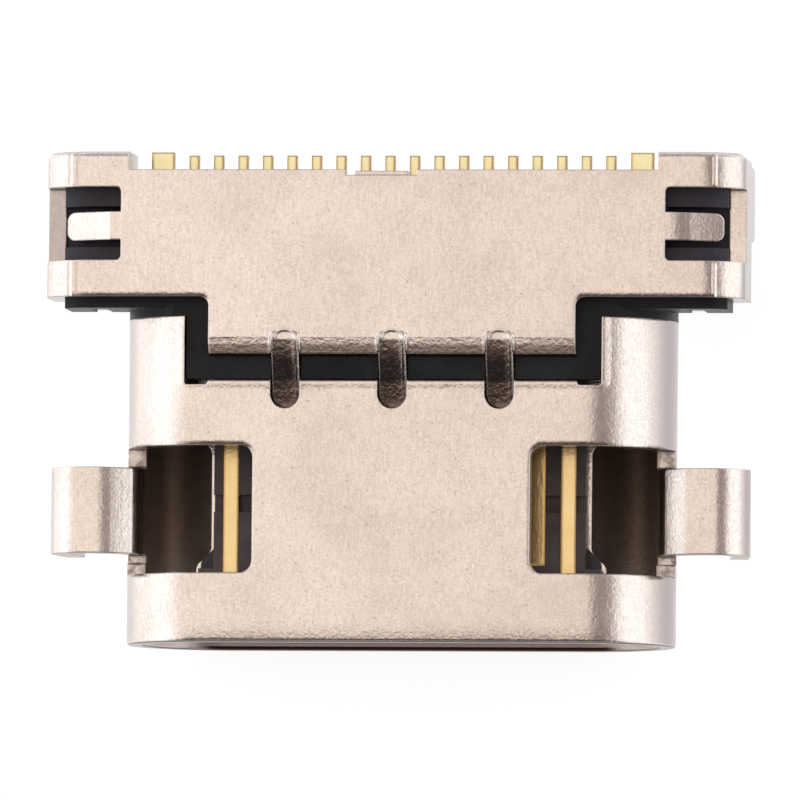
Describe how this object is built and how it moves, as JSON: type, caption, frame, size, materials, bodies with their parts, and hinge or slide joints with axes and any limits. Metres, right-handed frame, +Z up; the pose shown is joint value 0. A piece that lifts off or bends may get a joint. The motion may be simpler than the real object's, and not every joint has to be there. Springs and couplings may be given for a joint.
{
  "type": "charging port connector",
  "caption": "Mid-mount charging port connector: drawn oval shell with bent side legs, stamped rear cover, moulded tongue with contacts on both faces and a row of solder tails.",
  "frame": {"origin": "centre of the bounding box's bottom face, level with the flat underside of the shell", "axes": "+X across the mouth's width, +Y from the mouth to the solder tails, +Z up from the underside to the rear cover"},
  "size_m": [0.0114, 0.008, 0.0033],
  "materials": {
    "shell_metal": "satin",
    "cover_metal": "satin",
    "plate_metal": "satin",
    "contact_metal": "polished",
    "housing_plastic": "matte",
    "tongue_plastic": "matte"
  },
  "bodies": {
    "root": {"contact_centre_lower_left": "contact_metal", "contact_centre_lower_right": "contact_metal", "contact_centre_upper_left": "contact_metal", "contact_centre_upper_right": "contact_metal", "contact_ground_left": "contact_metal", "contact_ground_right": "contact_metal", "contact_inner_lower_left": "contact_metal", "contact_inner_lower_right": "contact_metal", "contact_inner_upper_left": "contact_metal", "contact_inner_upper_right": "contact_metal", "contact_middle_lower_left": "contact_metal", "contact_middle_lower_right": "contact_metal", "contact_middle_upper_left": "contact_metal", "contact_middle_upper_right": "contact_metal", "contact_outer_lower_left": "contact_metal", "contact_outer_lower_right": "contact_metal", "contact_outer_upper_left": "contact_metal", "contact_outer_upper_right": "contact_metal", "contact_power_left": "contact_metal", "contact_power_right": "contact_metal", "front_shell": "shell_metal", "housing": "housing_plastic", "lower_ground_plate": "plate_metal", "mid_plate": "plate_metal", "rear_cover": "cover_metal", "tongue_insulator": "tongue_plastic", "upper_ground_plate": "plate_metal"}
  },
  "joints": []
}
